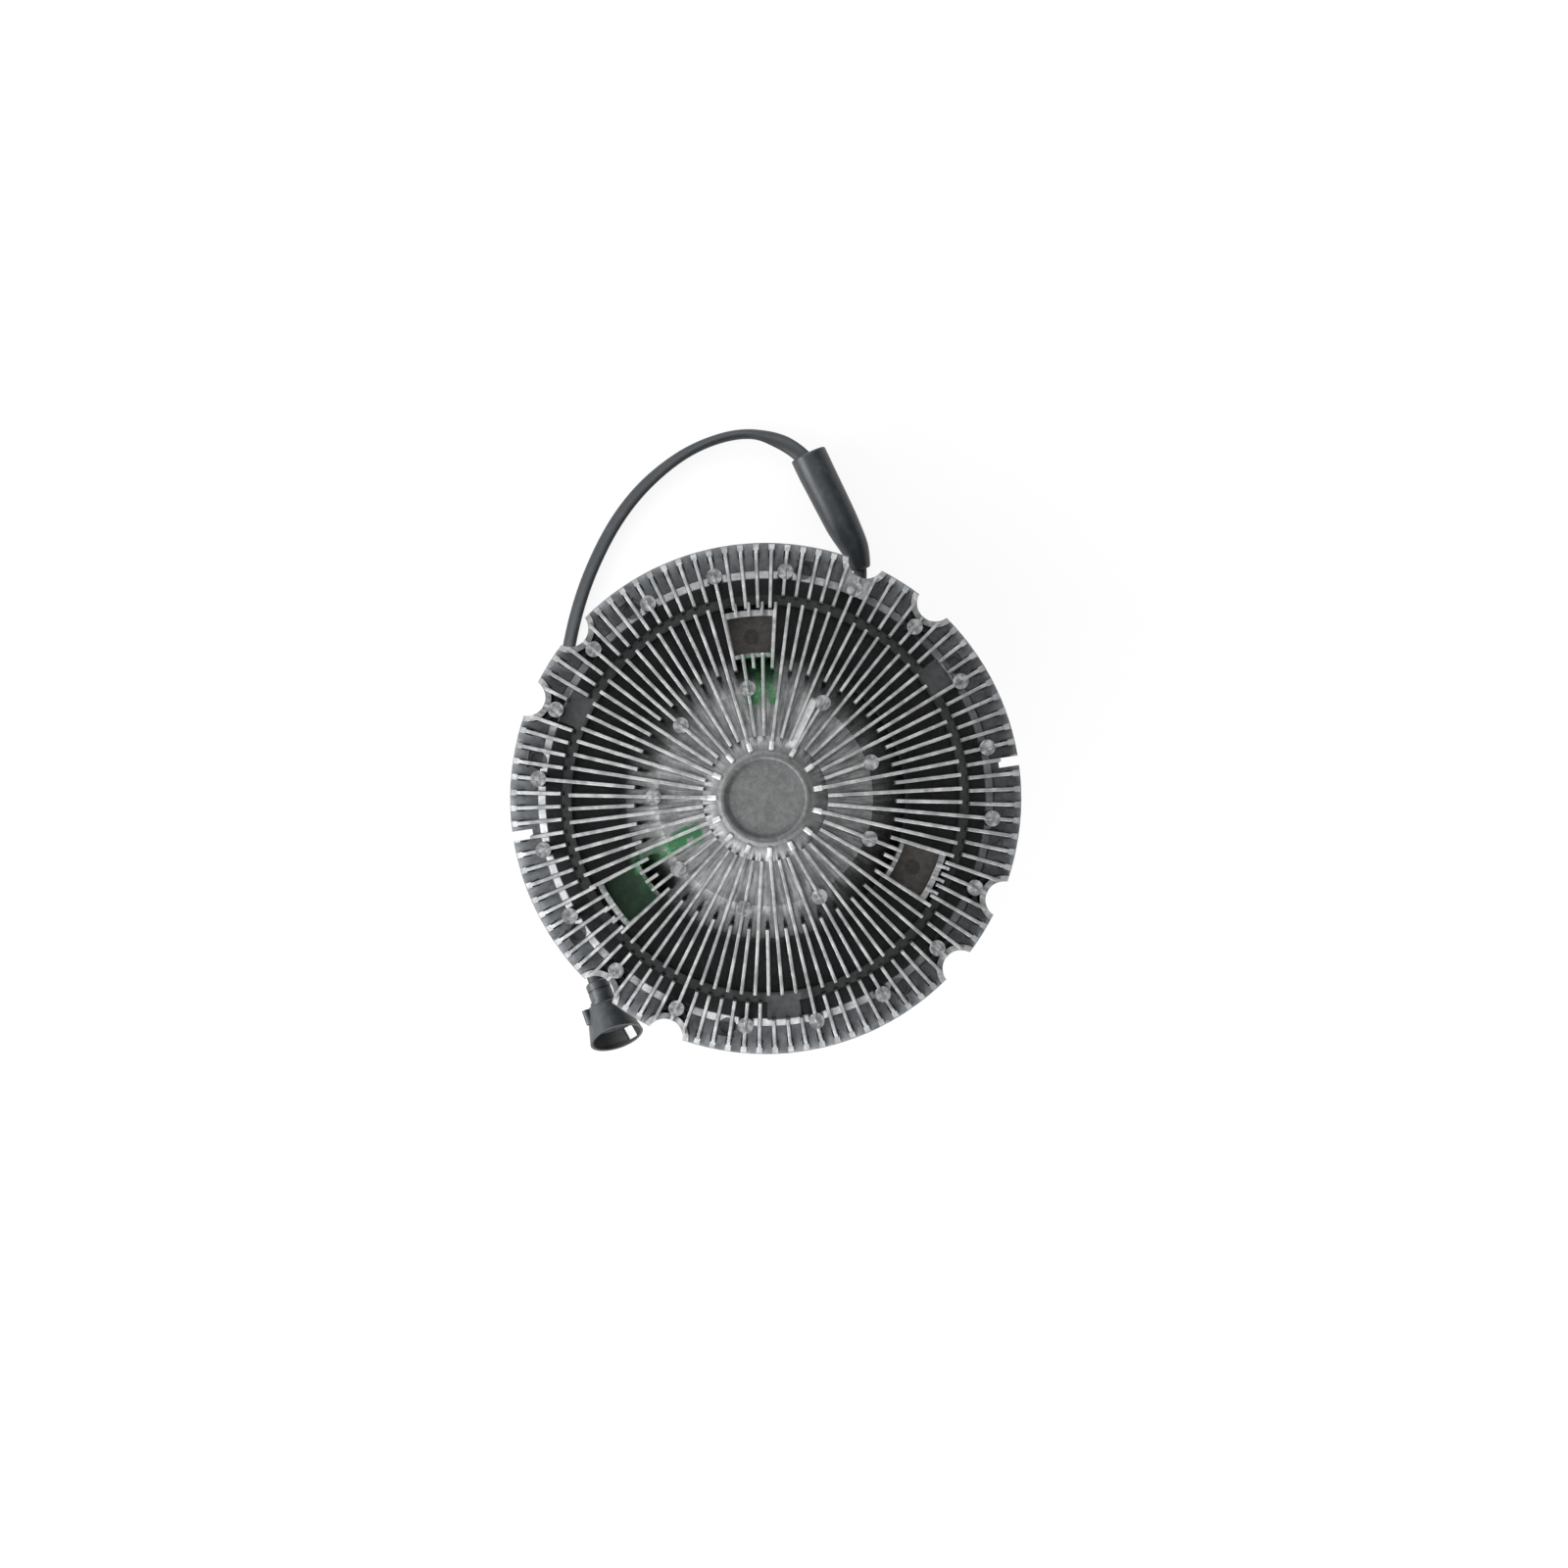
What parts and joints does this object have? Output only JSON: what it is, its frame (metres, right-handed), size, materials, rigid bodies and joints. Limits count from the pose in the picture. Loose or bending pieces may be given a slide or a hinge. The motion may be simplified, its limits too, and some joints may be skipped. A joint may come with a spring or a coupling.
{
  "type": "viscous fan clutch",
  "caption": "Viscous fan clutch with a finned cast aluminium front, rear electromagnet, drive flange and a cable loop ending in a bayonet connector",
  "frame": {"origin": "centre of the drive flange's rear face, on which the clutch rests", "axes": "+Z along the clutch axis out of the finned front; +X right and +Y up in the picture"},
  "size_m": [0.265, 0.3397, 0.1145],
  "materials": {
    "cast_front": "die-cast, bright fin crests",
    "cast_rear": "die-cast",
    "rotor_alloy": "turned",
    "shaft_steel": "turned",
    "bearing_steel": "ground",
    "plain_steel": "stamped",
    "screw_steel": "dark zinc",
    "spring_steel": "rolled",
    "yoke_steel": "dark coat",
    "copper": "enamelled wire",
    "contact_metal": "plated",
    "cage_brass": "machined",
    "black_plastic": "moulded",
    "potting": "cast resin",
    "seal_rubber": "smooth",
    "cable_rubber": "matt sheath"
  },
  "bodies": {
    "drive": {"drive_shaft": "shaft_steel", "rotor_disc": "rotor_alloy", "rotor_nut": "screw_steel", "bearing_spacer": "shaft_steel", "main_bearing_inner_race": "bearing_steel", "magnet_bearing_inner_race": "bearing_steel"},
    "housing": {"front_cover": "cast_front", "rear_housing": "cast_rear", "cover_seal": "seal_rubber", "cover_screws": "screw_steel", "main_bearing_outer_race": "bearing_steel", "main_bearing_snap_ring": "spring_steel", "main_bearing_seals": "seal_rubber", "pole_ring": "plain_steel", "tone_ring": "plain_steel", "reservoir_plate": "plain_steel", "plate_screws": "screw_steel", "valve_bracket": "plain_steel", "valve_pin": "bearing_steel", "valve_spring": "spring_steel"},
    "magnet": {"magnet_yoke": "yoke_steel", "coil_bobbin": "black_plastic", "coil_winding": "copper", "coil_cover": "potting", "magnet_bearing_outer_race": "bearing_steel", "magnet_bearing_seals": "seal_rubber", "terminal_block": "black_plastic", "speed_sensor": "black_plastic", "strain_relief": "seal_rubber", "cable_lead": "cable_rubber", "cable_sleeve": "cable_rubber", "cable_loop": "cable_rubber", "connector_backshell": "black_plastic", "connector_body": "black_plastic", "connector_pins": "contact_metal", "connector_seal": "seal_rubber"},
    "main_balls": {"main_bearing_balls": "bearing_steel", "main_bearing_cage": "cage_brass"},
    "magnet_balls": {"magnet_bearing_balls": "bearing_steel", "magnet_bearing_cage": "cage_brass"},
    "valve": {"valve_lever": "spring_steel", "armature_plate": "plain_steel"},
    "coupling": {"coupling_ring": "black_plastic"}
  },
  "joints": [
    {"name": "fan_spin", "type": "hinge", "parent": "drive", "child": "housing", "pos_m": [0, 0, 0.0605], "axis": [0, 0, 1], "continuous": true},
    {"name": "magnet_spin", "type": "hinge", "parent": "drive", "child": "magnet", "pos_m": [0, 0, 0.024], "axis": [0, 0, 1], "continuous": true},
    {"name": "main_cage_spin", "type": "hinge", "parent": "drive", "child": "main_balls", "pos_m": [0, 0, 0.0605], "axis": [0, 0, 1], "continuous": true},
    {"name": "magnet_cage_spin", "type": "hinge", "parent": "drive", "child": "magnet_balls", "pos_m": [0, 0, 0.024], "axis": [0, 0, 1], "continuous": true},
    {"name": "valve_tilt", "type": "hinge", "parent": "housing", "child": "valve", "pos_m": [-0.022, 0, 0.096], "axis": [0, 1, 0], "range_deg": [0, 2], "stiffness_Nm_per_rad": 0.5, "springref_deg": -5.73, "deforming": ["valve_spring"]},
    {"name": "coupling_turn", "type": "hinge", "parent": "magnet", "child": "coupling", "pos_m": [-0.0927, -0.1005, 0.00639], "axis": [0.347, -0.9041, 0.2494], "range_deg": [0, 40]}
  ],
  "couplings": [
    {"joint": "main_cage_spin", "follows": "fan_spin", "ratio": 0.597},
    {"joint": "magnet_cage_spin", "follows": "magnet_spin", "ratio": 0.589}
  ]
}
